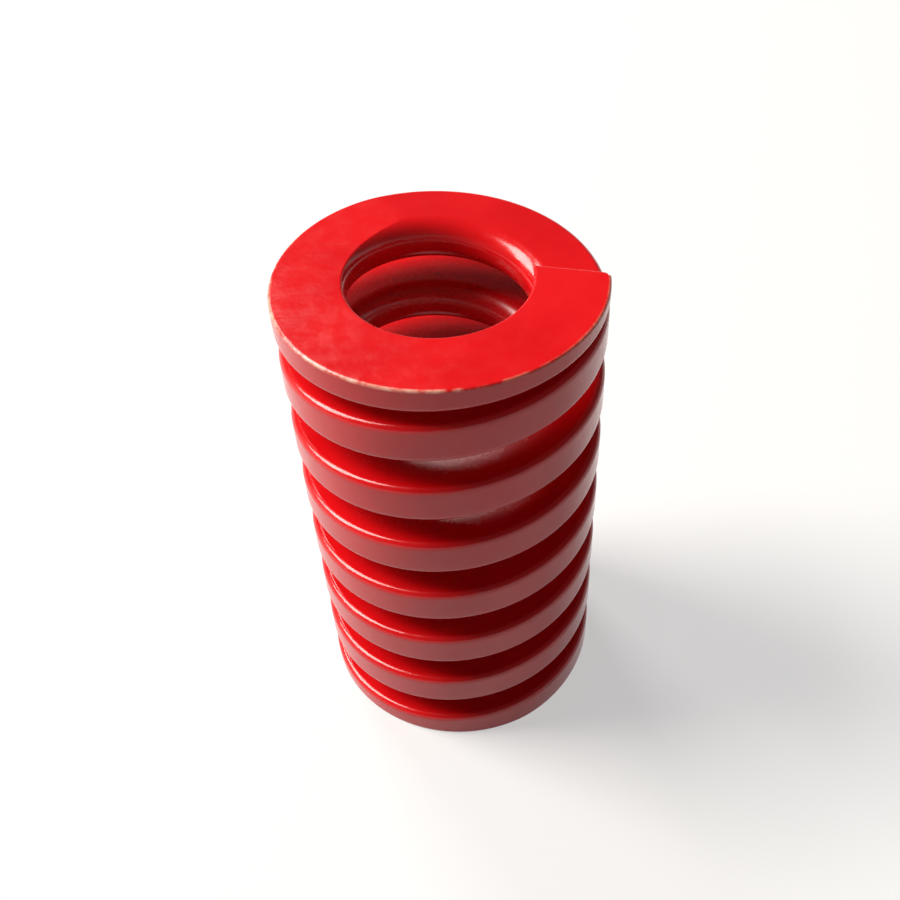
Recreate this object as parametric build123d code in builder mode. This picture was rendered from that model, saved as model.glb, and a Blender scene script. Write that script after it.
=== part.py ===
from build123d import *
import os
from math import cos, radians, sin, sqrt

# Die spring, millimetres.  One coil of heavy flat wire, wound right-handed about +Z, with each
# end closed onto its neighbouring turn and ground flat.  It stands on its lower ground face at
# Z = 0 and its axis is the Z axis.

# ------------------------------------------------------------------ driving dimensions
outer_diameter = 35.0  # over the flat outside of the wire
free_length = 60.0  # between the two ground faces, with nothing pressing on them

wire_width = 7.8  # from the bore to the outside
wire_height = 4.8  # along the axis, before grinding
outer_corner_radius = 0.8  # shoulders above and below the flat outside
inner_corner_radius = 2.1  # the bore side is much rounder
most_corner_share = 0.45  # of the wire's height, so that a flat stays between two corners

active_pitch = 8.62  # climb of one free turn
tip_gap = 0.3  # between each tip and the turn that it closes onto
tip_thickness = 1.9  # of wire that the grinding leaves at each tip

top_tip_angle = 6.0  # where the wire's upper end lies, about Z from +X
top_closed_angle = 150.0  # of wire at the low end pitch, from the upper tip
top_opening_angle = 210.0  # over which that pitch grows to the active one
bottom_closed_angle = 125.0
bottom_opening_angle = 80.0

tip_slant = 20.0  # lean of a tip's cut face from a radial line, outer corner set back
tip_corner_radius = 0.7  # rounding of that outer corner, seen from above

section_step = 15.0  # of wire between the sections that it is lofted through

# ------------------------------------------------------------------ worked out from them
FULL_TURN = 360.0
outer_radius = outer_diameter / 2
inner_radius = outer_radius - wire_width
mean_radius = outer_radius - wire_width / 2
inner_fillet = min(inner_corner_radius, most_corner_share * wire_height)
first_climb = wire_height + tip_gap  # of the first turn, so that it clears the tip


class ClosedEnd:
    """How the wire climbs away from a tip: at a low end pitch, which then opens smoothly."""

    def __init__(self, closed_angle, opening_angle):
        self.closed_angle = closed_angle
        self.opening_angle = opening_angle
        self.low_angle = closed_angle + opening_angle / 2
        opened = self.opened_angle(FULL_TURN)
        self.end_pitch = (first_climb * FULL_TURN - active_pitch * opened) / (FULL_TURN - opened)

    def opened_angle(self, angle):
        """Angle of wire at the active pitch that this stretch from the tip is worth."""
        share = (angle - self.closed_angle) / self.opening_angle
        if share <= 0:
            return 0.0
        if share < 1:
            return self.opening_angle * (share**3 - share**4 / 2)
        return angle - self.low_angle

    def climb(self, angle):
        """Climb of the wire's centre over this angle from the tip."""
        opened = self.opened_angle(angle)
        return (self.end_pitch * (angle - opened) + active_pitch * opened) / FULL_TURN

    def lost_climb(self):
        """Climb that this end lacks beside the same length of wire at the active pitch."""
        return (active_pitch - self.end_pitch) * self.low_angle / FULL_TURN


top_end = ClosedEnd(top_closed_angle, top_opening_angle)
bottom_end = ClosedEnd(bottom_closed_angle, bottom_opening_angle)

bottom_tip_height = tip_thickness - wire_height / 2  # of the wire's centre, as the top's below
top_tip_height = free_length - bottom_tip_height
total_climb = top_tip_height - bottom_tip_height
active_climb = total_climb + top_end.lost_climb() + bottom_end.lost_climb()
total_angle = active_climb / active_pitch * FULL_TURN
bottom_tip_angle = top_tip_angle - total_angle


def centre_height(angle):
    """Height of the wire's centre at this angle along the wire from its lower tip."""
    if angle < total_angle / 2:
        return bottom_tip_height + bottom_end.climb(angle)
    return top_tip_height - top_end.climb(total_angle - angle)


def radial_plane(angle):
    """Plane through the coil's axis at this angle along the wire, X outward and Y up."""
    turned = radians(bottom_tip_angle + angle)
    outward = Vector(cos(turned), sin(turned), 0)
    centre = outward * mean_radius + Vector(0, 0, centre_height(angle))
    return Plane(origin=centre, x_dir=outward, z_dir=outward.cross(Vector(0, 0, 1)))


# ------------------------------------------------------------------ the wire's section
with BuildSketch() as wire_section:
    Rectangle(wire_width, wire_height)
    fillet(wire_section.vertices().group_by(Axis.X)[0], inner_fillet)
    fillet(wire_section.vertices().group_by(Axis.X)[-1], outer_corner_radius)

# ------------------------------------------------------------------ the spring
section_count = round(total_angle / section_step)

# A tip's cut runs from the end of the wire at the bore, back at a slant, to the outside.
slant = radians(tip_slant)
cut_length = sqrt(outer_radius**2 - (inner_radius * sin(slant)) ** 2) - inner_radius * cos(slant)
cut_corner = inner_radius + cut_length * cos(slant)
cut_setback = cut_length * sin(slant)

with BuildPart() as die_spring:
    for i in range(section_count + 1):
        with BuildSketch(radial_plane(total_angle * i / section_count)):
            add(wire_section.sketch)
    loft()
    for tip_angle, tip_height, side in (
        (top_tip_angle, top_tip_height, 1),
        (bottom_tip_angle, bottom_tip_height, -1),
    ):
        # The cutter starts halfway into the gap between the tip and its neighbouring turn.
        cut_start = tip_height - side * first_climb / 2
        with BuildSketch(Plane.XY.offset(cut_start).rotated((0, 0, tip_angle))) as tip_cut:
            with BuildLine():
                Polyline(
                    (inner_radius, 0),
                    (cut_corner, -side * cut_setback),
                    (cut_corner, -side * (cut_setback + wire_width)),
                    (cut_corner + wire_width, -side * (cut_setback + wire_width)),
                    (cut_corner + wire_width, side * tip_gap),
                    (inner_radius, side * tip_gap),
                    close=True,
                )
            make_face()
            outer_corner = (cut_corner, -side * cut_setback, 0)
            fillet(tip_cut.vertices().sort_by_distance(outer_corner)[0], tip_corner_radius)
        extrude(amount=side * first_climb, mode=Mode.SUBTRACT)
    # Both ends are ground flat and square to the axis.
    split(bisect_by=Plane.XY, keep=Keep.TOP)
    split(bisect_by=Plane.XY.offset(free_length), keep=Keep.BOTTOM)

die_spring.part.label = "die_spring"

os.makedirs("parts", exist_ok=True)
export_step(die_spring.part, "parts/die_spring.step")

print(f"{total_angle / FULL_TURN:.2f} turns, lower tip at {bottom_tip_angle % FULL_TURN:.1f} degrees")
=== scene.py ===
from math import cos, degrees, pi, radians, sin, sqrt, tan

import bpy
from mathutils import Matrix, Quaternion, Vector


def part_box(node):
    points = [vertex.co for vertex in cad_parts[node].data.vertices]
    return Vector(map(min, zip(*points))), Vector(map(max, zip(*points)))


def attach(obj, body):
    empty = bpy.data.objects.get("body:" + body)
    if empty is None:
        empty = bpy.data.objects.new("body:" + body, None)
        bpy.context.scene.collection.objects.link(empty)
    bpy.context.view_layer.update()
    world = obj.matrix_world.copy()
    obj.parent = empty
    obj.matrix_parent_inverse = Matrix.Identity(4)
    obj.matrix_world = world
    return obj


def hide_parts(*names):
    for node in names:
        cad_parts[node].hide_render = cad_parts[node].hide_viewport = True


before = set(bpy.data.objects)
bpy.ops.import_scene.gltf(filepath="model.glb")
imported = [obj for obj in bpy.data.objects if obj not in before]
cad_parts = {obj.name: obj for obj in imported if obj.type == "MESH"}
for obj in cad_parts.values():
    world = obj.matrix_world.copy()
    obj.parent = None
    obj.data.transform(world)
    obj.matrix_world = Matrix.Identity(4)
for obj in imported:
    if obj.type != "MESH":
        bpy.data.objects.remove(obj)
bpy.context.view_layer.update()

# A die spring: one coil of heavy flat wire, painted red all over.  Metres and degrees.
MM = 0.001
FULL_TURN = 360.0

# ------------------------------------------------------------------ sizes of the coil
box_low, box_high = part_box("die_spring")
outer_radius = box_high.x
free_length = box_high.z

wire_width = 7.8 * MM
wire_height = 4.8 * MM
outer_corner = 0.8 * MM
inner_corner = 2.1 * MM
edge_rounding = 0.3 * MM  # of the ground faces and the tips, under the paint

active_pitch = 8.62 * MM
tip_gap = 0.3 * MM
tip_thickness = 1.9 * MM

top_tip_angle = 6.0
top_closed_angle = 150.0
top_opening_angle = 210.0
bottom_closed_angle = 125.0
bottom_opening_angle = 80.0

tip_slant = 20.0
tip_corner = 0.7 * MM
tip_reach = 25.0  # of wire beside a tip, over which its slant fades away

inner_radius = outer_radius - wire_width
mean_radius = outer_radius - wire_width / 2
first_climb = wire_height + tip_gap


class ClosedEnd:
    """How the wire climbs away from a tip: at a low end pitch, which then opens smoothly."""

    def __init__(self, closed_angle, opening_angle):
        self.closed_angle = closed_angle
        self.opening_angle = opening_angle
        self.low_angle = closed_angle + opening_angle / 2
        opened = self.opened_angle(FULL_TURN)
        self.end_pitch = (first_climb * FULL_TURN - active_pitch * opened) / (FULL_TURN - opened)

    def opened_angle(self, angle):
        share = (angle - self.closed_angle) / self.opening_angle
        if share <= 0:
            return 0.0
        if share < 1:
            return self.opening_angle * (share**3 - share**4 / 2)
        return angle - self.low_angle

    def climb(self, angle):
        opened = self.opened_angle(angle)
        return (self.end_pitch * (angle - opened) + active_pitch * opened) / FULL_TURN

    def lost_climb(self):
        return (active_pitch - self.end_pitch) * self.low_angle / FULL_TURN


top_end = ClosedEnd(top_closed_angle, top_opening_angle)
bottom_end = ClosedEnd(bottom_closed_angle, bottom_opening_angle)
bottom_tip_height = tip_thickness - wire_height / 2
top_tip_height = free_length - bottom_tip_height
active_climb = top_tip_height - bottom_tip_height + top_end.lost_climb() + bottom_end.lost_climb()
total_angle = active_climb / active_pitch * FULL_TURN
bottom_tip_angle = top_tip_angle - total_angle


def centre_height(angle):
    """Height of the wire's centre at this angle along the wire from its lower tip."""
    if angle < total_angle / 2:
        return bottom_tip_height + bottom_end.climb(angle)
    return top_tip_height - top_end.climb(total_angle - angle)


# ------------------------------------------------------------------ the wire's section
# The section is drawn as a smaller one, cut by the grinding planes, with a round edge rolled
# along it.  Each of its points is known by the direction that the surface faces there.
OUTER_STEPS = 8  # along each rounded corner
INNER_STEPS = 12
FACE_STEPS = 12  # across the upper and the lower side
OUTSIDE_STEPS = 6  # up the flat outside
BORE_STEPS = 2
ROW_STEP = 2.4  # degrees of wire between rows
END_ROWS = 4  # that round the edges of a tip's cut face
tip_start = degrees(edge_rounding / mean_radius)  # from a tip's end to where that rounding begins


def side_reach(height, side, rounding):
    """How far the smaller section reaches outward (side 1) or inward (side -1) at a height."""
    corner = outer_corner if side > 0 else inner_corner
    past_flat = max(abs(height) - (wire_height / 2 - corner), 0.0)
    return side * (wire_width / 2 - corner + sqrt(max((corner - rounding) ** 2 - past_flat**2, 0.0)))


def section_points(centre, rounding_left):
    """The section at this centre height: one (outward, up) point for each place round it."""
    top = min(free_length - centre, wire_height / 2) - edge_rounding
    bottom = max(-centre, -wire_height / 2) + edge_rounding
    corners = []
    for side, up, first in ((1, 1, 0), (-1, 1, 90), (-1, -1, 180), (1, -1, 270)):
        corner = outer_corner if side > 0 else inner_corner
        steps = OUTER_STEPS if side > 0 else INNER_STEPS
        arc = []
        for i in range(steps + 1):
            facing = radians(first + 90 * i / steps)
            x = side * (wire_width / 2 - corner) + (corner - edge_rounding) * cos(facing)
            z = up * (wire_height / 2 - corner) + (corner - edge_rounding) * sin(facing)
            if z > top or z < bottom:
                z = min(max(z, bottom), top)
                x = side_reach(z, side, edge_rounding)
            arc.append((x + rounding_left * cos(facing), z + rounding_left * sin(facing)))
        corners.append(arc)
    points = []
    flats = (FACE_STEPS, BORE_STEPS, FACE_STEPS, OUTSIDE_STEPS)
    for i, arc in enumerate(corners):
        points += arc
        start = arc[-1]
        end = corners[(i + 1) % 4][0]
        for j in range(1, flats[i]):
            share = (1 - cos(pi * j / flats[i])) / 2
            points.append((start[0] + (end[0] - start[0]) * share, start[1] + (end[1] - start[1]) * share))
    return points


def tip_setback(radius):
    """How far back from the wire's end a tip's cut face lies, at this distance from the axis."""
    setback = (radius - inner_radius) * tan(radians(tip_slant))
    into_corner = radius - (outer_radius - tip_corner)
    if into_corner > 0:
        corner = tip_corner - edge_rounding
        setback += corner - sqrt(max(corner**2 - into_corner**2, 0.0))
    return setback


def coil_row(angle, advance=0.0, rounding_left=edge_rounding):
    """World points of the section at an angle along the wire, moved by the nearer tip's cut."""
    from_top = total_angle - angle < angle
    to_end = (total_angle - angle) if from_top else angle
    away = -1 if from_top else 1
    fade = max(0.0, 1 - (to_end - tip_start) / tip_reach)
    plain = section_points(centre_height(angle), rounding_left)
    row = []
    for i, (x, z) in enumerate(plain):
        radius = mean_radius + x
        own_angle = angle
        if fade > 0:
            inside = min(radius, outer_radius - edge_rounding)
            moved = tip_setback(inside) * fade - advance
            own_angle = angle + away * degrees(moved / radius)
            x, z = section_points(centre_height(own_angle), rounding_left)[i]
            radius = mean_radius + x
        turned = radians(bottom_tip_angle + own_angle)
        row.append((radius * cos(turned), radius * sin(turned), centre_height(own_angle) + z))
    return row


def end_rows(angle):
    """Rows that round the edges of a tip's cut face, from the wire's side out to that face."""
    turns = [pi / 2 * i / END_ROWS for i in range(1, END_ROWS + 1)]
    return [coil_row(angle, edge_rounding * sin(turn), edge_rounding * cos(turn)) for turn in turns]


def coil_mesh(name):
    """The whole wire as one closed mesh, with quads that follow it."""
    rows = end_rows(tip_start)[::-1]
    count = round((total_angle - 2 * tip_start) / ROW_STEP)
    for i in range(count + 1):
        rows.append(coil_row(tip_start + (total_angle - 2 * tip_start) * i / count))
    rows += end_rows(total_angle - tip_start)
    around = len(rows[0])
    vertices = [point for row in rows for point in row]
    faces = []
    for i in range(len(rows) - 1):
        for j in range(around):
            k = (j + 1) % around
            faces.append((i * around + j, i * around + k, (i + 1) * around + k, (i + 1) * around + j))
    # Each tip's face is filled with strips from its upper edge to its lower one.
    middle = OUTSIDE_STEPS // 2
    ring = [(-middle + j) % around for j in range(around)]
    last = (len(rows) - 1) * around
    for start, flip in ((0, False), (last, True)):
        for j in range(around // 2):
            strip = [ring[j], ring[j + 1], ring[around - 1 - j], ring[-j]]
            strip = list(dict.fromkeys(start + s for s in strip))
            if len(strip) > 2:
                faces.append(tuple(reversed(strip)) if flip else tuple(strip))
    mesh = bpy.data.meshes.new(name)
    mesh.from_pydata(vertices, [], faces)
    mesh.validate()
    mesh.update()
    mesh.shade_smooth()
    return mesh


coil = bpy.data.objects.new("painted_coil", coil_mesh("painted_coil"))
bpy.context.scene.collection.objects.link(coil)

# ------------------------------------------------------------------ nodes
class NodeTree:
    """The node tree of a material or a world, with short calls to add its nodes and link them."""

    def __init__(self, owner):
        owner.use_nodes = True
        self.nodes = owner.node_tree.nodes
        self.links = owner.node_tree.links

    def add(self, kind, inputs=None, **settings):
        """Add a node; each input is a value, or the output of another node."""
        node = self.nodes.new("ShaderNode" + kind)
        for name, value in settings.items():
            setattr(node, name, value)
        for name, value in (inputs or {}).items():
            self.set(node, name, value)
        return node

    def set(self, node, name, value):
        if hasattr(value, "is_output"):
            self.links.new(value, node.inputs[name])
        else:
            node.inputs[name].default_value = value

    def math(self, operation, first, second=0.0):
        return self.add("Math", {0: first, 1: second}, operation=operation).outputs[0]

    def ramp(self, value, low, high, to_low=0.0, to_high=1.0):
        """Map a value from low..high to to_low..to_high, smoothly and clamped."""
        inputs = {"Value": value, "From Min": low, "From Max": high, "To Min": to_low, "To Max": to_high}
        return self.add("MapRange", inputs, interpolation_type="SMOOTHSTEP").outputs["Result"]

    def noise(self, vector, scale, detail=2.0, roughness=0.5):
        """Noise with this many lumps to a metre."""
        inputs = {"Vector": vector, "Scale": scale, "Detail": detail, "Roughness": roughness}
        return self.add("TexNoise", inputs).outputs["Fac"]

    def mix(self, share, first, second):
        node = self.add("Mix", data_type="RGBA")
        self.set(node, 0, share)
        self.set(node, 6, first)
        self.set(node, 7, second)
        return node.outputs[2]

    def mix_shaders(self, share, first, second):
        """A shader that is the first one where the share is 0 and the second where it is 1."""
        node = self.add("MixShader", {"Fac": share})
        self.links.new(first, node.inputs[1])
        self.links.new(second, node.inputs[2])
        return node.outputs[0]


# ------------------------------------------------------------------ red paint
lit_side = 222.0  # about Z from +X, toward the window lamp, where the upper rim gets scuffs with a painted highlight and its paint is wrinkled

PAINT = (0.74, 0.006, 0.009, 1.0)
THICK_PAINT = (0.64, 0.003, 0.006, 1.0)  # where it gathers
THIN_PAINT = (0.84, 0.22, 0.15, 1.0)  # where it draws back from a sharp edge
# pale scuffs on the rims, more of them toward the window lamp: partly wear, partly a painted highlight
SCUFF_AND_HIGHLIGHT = (0.88, 0.50, 0.38, 1.0)
PAINTED_GAP_SHADE = (0.52, 0.003, 0.006, 1.0)  # painted shade, deep between the turns
GRIT = (0.10, 0.05, 0.035, 1.0)


def edge_wear(tree, place, radius, height):
    """How thin the paint is: 1 on the sharp outer rims of both ground faces, in patches."""
    worn_depth = 0.16 * MM
    near_rim = tree.ramp(radius, outer_radius - 0.38 * MM, outer_radius - worn_depth)
    fade_depth = 0.34 * MM
    top = tree.ramp(height, free_length - fade_depth, free_length - worn_depth)
    bottom = tree.ramp(height, worn_depth, fade_depth, 1.0, 0.0)
    rim = tree.math("MULTIPLY", near_rim, tree.math("MAXIMUM", top, bottom))
    patches = tree.ramp(tree.noise(place, 260.0, 4.0, 0.65), 0.36, 0.62)
    return tree.math("MULTIPLY", rim, patches)


def paint_material(name):
    """Gloss red enamel: orange peel, wrinkles, scuffs with a painted highlight at the rim, and a few
    specks of grit.
    """
    material = bpy.data.materials.new(name)
    tree = NodeTree(material)
    bsdf = tree.nodes["Principled BSDF"]
    place = tree.add("TexCoord").outputs["Object"]
    parts = tree.add("SeparateXYZ", {0: place}).outputs
    flat_place = tree.add("CombineXYZ", {0: parts["X"], 1: parts["Y"], 2: 0.0}).outputs[0]
    radius = tree.add("VectorMath", {0: flat_place}, operation="LENGTH").outputs["Value"]
    angle = tree.math("ARCTAN2", parts["Y"], parts["X"])
    height = parts["Z"]

    # Colour: slow changes of thickness, painted shade between the turns, worn rims with scuffs and a
    # painted highlight on the lit side, and grit.
    thickness = tree.ramp(tree.noise(place, 120.0, 3.0), 0.35, 0.68)
    colour = tree.mix(tree.math("MULTIPLY", thickness, 0.7), PAINT, THICK_PAINT)
    # Painted shade: darker paint inward from the outer face and below the top ring, where the turns shade
    # each other.
    inside = tree.ramp(radius, outer_radius - 3.6 * MM, outer_radius - 0.9 * MM, 1.0, 0.0)
    below_top = tree.ramp(height, free_length - 4.5 * MM, free_length - 2.6 * MM, 1.0, 0.0)
    gap_shade = tree.math("MULTIPLY", tree.math("MULTIPLY", inside, below_top), 0.7)
    colour = tree.mix(gap_shade, colour, PAINTED_GAP_SHADE)
    wear = edge_wear(tree, place, radius, height)
    colour = tree.mix(tree.math("MULTIPLY", wear, 0.8), colour, THIN_PAINT)
    # Pale scuffs on the worn rims, gathered on the side toward the window lamp: partly wear, partly a
    # painted highlight.
    facing = tree.ramp(tree.math("COSINE", tree.math("SUBTRACT", angle, radians(lit_side))), 0.3, 0.9)
    scuff_and_highlight = tree.math("ADD", tree.noise(place, 700.0, 4.0, 0.6), tree.math("MULTIPLY", facing, 0.28))
    scuff_and_highlight = tree.math("MULTIPLY", tree.ramp(scuff_and_highlight, 0.58, 0.72), wear)
    colour = tree.mix(scuff_and_highlight, colour, SCUFF_AND_HIGHLIGHT)
    grains = tree.add("TexVoronoi", {"Vector": place, "Scale": 420.0}).outputs
    grain_kind = tree.add("SeparateColor", {0: grains["Color"]}).outputs
    grit = tree.math("MULTIPLY", tree.ramp(grains["Distance"], 0.07, 0.11, 1.0, 0.0),
                     tree.ramp(grain_kind["Red"], 0.975, 0.98))
    colour = tree.mix(tree.math("MULTIPLY", grit, 0.85), colour, GRIT)
    tree.set(bsdf, "Base Color", colour)

    # Gloss: it varies in patches, and is duller between the turns and where it is worn or gritty.
    haze = tree.ramp(tree.noise(place, 520.0, 4.0, 0.6), 0.30, 0.75, 0.15, 0.25)
    worn = tree.math("MAXIMUM", tree.math("MULTIPLY", wear, 0.34), tree.math("MULTIPLY", grit, 0.6))
    dulled = tree.math("ADD", haze, tree.math("MULTIPLY", gap_shade, 0.12))
    tree.set(bsdf, "Roughness", tree.math("MAXIMUM", dulled, worn))

    # Relief: orange peel all over, and radial wrinkles where it shrank at the upper rim.
    peel = tree.noise(place, 1700.0, 2.0, 0.45)
    waves = tree.noise(place, 620.0, 2.0, 0.5)
    spokes = tree.add("CombineXYZ", {
        0: tree.math("MULTIPLY", angle, 13.0), 1: tree.math("MULTIPLY", radius, 330.0), 2: 0.0,
    }).outputs[0]
    wrinkles = tree.noise(spokes, 1.0, 3.0, 0.6)
    at_rim = tree.ramp(radius, outer_radius - 2.6 * MM, outer_radius - 0.4 * MM)
    on_top = tree.ramp(height, free_length - 0.3 * MM, free_length - 0.1 * MM)
    wrinkled = tree.math("MULTIPLY", tree.math("MULTIPLY", at_rim, on_top), facing)
    relief = tree.math("MULTIPLY", wrinkles, wrinkled)
    relief = tree.math("ADD", relief, tree.math("MULTIPLY", peel, 0.26))
    relief = tree.math("ADD", relief, tree.math("MULTIPLY", waves, 0.5))
    relief = tree.math("ADD", relief, tree.math("MULTIPLY", grit, 0.15))
    strength = tree.math("SUBTRACT", 1.0, tree.math("MULTIPLY", gap_shade, 0.9))
    bump = tree.add("Bump", {"Height": relief, "Strength": strength, "Distance": 0.04 * MM})
    tree.set(bsdf, "Normal", bump.outputs["Normal"])
    bsdf.inputs["IOR"].default_value = 1.5
    return material


coil.data.materials.append(paint_material("red_paint"))

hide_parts("die_spring")
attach(coil, "root")

# ------------------------------------------------------------------ floor and world
def seen_ray(tree):
    """1 for the rays that show the background: camera, glossy and transmission rays."""
    rays = tree.add("LightPath").outputs
    shown = tree.math("MAXIMUM", rays["Is Camera Ray"], rays["Is Glossy Ray"])
    return tree.math("MAXIMUM", shown, rays["Is Transmission Ray"])


def make_floor():
    bpy.ops.mesh.primitive_plane_add(size=6.0)
    floor = bpy.context.object
    floor.name = "floor"
    material = bpy.data.materials.new("floor_paper")
    tree = NodeTree(material)
    tree.nodes.clear()
    # Paper that shows pale, and that throws less light back on the object than it shows.
    pale = tree.add("BsdfDiffuse", {"Color": (0.86, 0.86, 0.86, 1.0)}).outputs[0]
    glow = tree.add("Emission", {"Strength": 1.0}).outputs[0]
    dull = tree.add("BsdfDiffuse", {"Color": (0.18, 0.18, 0.18, 1.0)}).outputs[0]
    surface = tree.mix_shaders(seen_ray(tree), dull, tree.mix_shaders(0.5, pale, glow))
    tree.add("OutputMaterial", {"Surface": surface})
    floor.data.materials.append(material)


def make_world():
    world = bpy.data.worlds.new("studio")
    bpy.context.scene.world = world
    tree = NodeTree(world)
    tree.nodes.clear()
    direction = tree.add("TexCoord").outputs["Generated"]
    up = tree.add("SeparateXYZ", {0: direction}).outputs["Z"]
    # Fill light comes from low round the horizon, so that it stays out of the gaps.
    fade = {"Value": up, "From Min": 0.05, "From Max": 0.50, "To Min": 0.75, "To Max": 0.0}
    fill = tree.add("MapRange", fade).outputs["Result"]
    ambient = tree.add("Background", {"Color": (0.95, 0.97, 1.0, 1.0), "Strength": fill})
    # White round the horizon, with a darker ceiling.
    fade = {"Value": up, "From Min": 0.03, "From Max": 0.25, "To Min": 1.0, "To Max": 0.10}
    sky = tree.add("MapRange", fade).outputs["Result"]
    backdrop = tree.add("Background", {"Color": sky, "Strength": 1.0})
    surface = tree.mix_shaders(seen_ray(tree), ambient.outputs[0], backdrop.outputs[0])
    tree.add("OutputWorld", {"Surface": surface})


make_floor()
make_world()

# ------------------------------------------------------------------ lamps
def area_lamp(name, direction, distance, size, radiance, colour):
    """A soft box that faces the middle of the spring, as bright as this whatever its size."""
    data = bpy.data.lights.new(name, "AREA")
    data.shape = "RECTANGLE"
    data.size, data.size_y = size
    data.energy = radiance * size[0] * size[1] * pi
    data.color = colour
    lamp = bpy.data.objects.new(name, data)
    bpy.context.scene.collection.objects.link(lamp)
    towards = Vector(direction).normalized()
    lamp.location = Vector((0, 0, free_length / 2)) + towards * distance
    lamp.rotation_euler = towards.to_track_quat("Z", "Y").to_euler()


area_lamp("window", (-0.70, 0.18, 0.68), 1.5, (0.7, 1.0), 16.0, (1.0, 0.95, 0.88))
area_lamp("skylight", (-0.29, 0.61, 0.74), 1.5, (0.40, 0.40), 15.0, (1.0, 0.97, 0.94))

# ------------------------------------------------------------------ camera
camera_data = bpy.data.cameras.new("camera")
camera_data.lens = 42.04
camera_data.sensor_width = 36.0
camera_data.clip_start = 0.005
camera = bpy.data.objects.new("camera", camera_data)
bpy.context.scene.collection.objects.link(camera)
look_down = 0.7886  # radians
roll = -0.066
camera_distance = 7.1409 * outer_radius
look = Vector((0, cos(look_down), -sin(look_down)))
aim = Vector((-0.0008, 0, 1.992)) * outer_radius
camera.location = aim - look * camera_distance
camera.rotation_mode = "QUATERNION"
camera.rotation_quaternion = look.to_track_quat("-Z", "Y") @ Quaternion((0, 0, 1), roll)
bpy.context.scene.camera = camera
bpy.context.scene.view_settings.view_transform = "Standard"
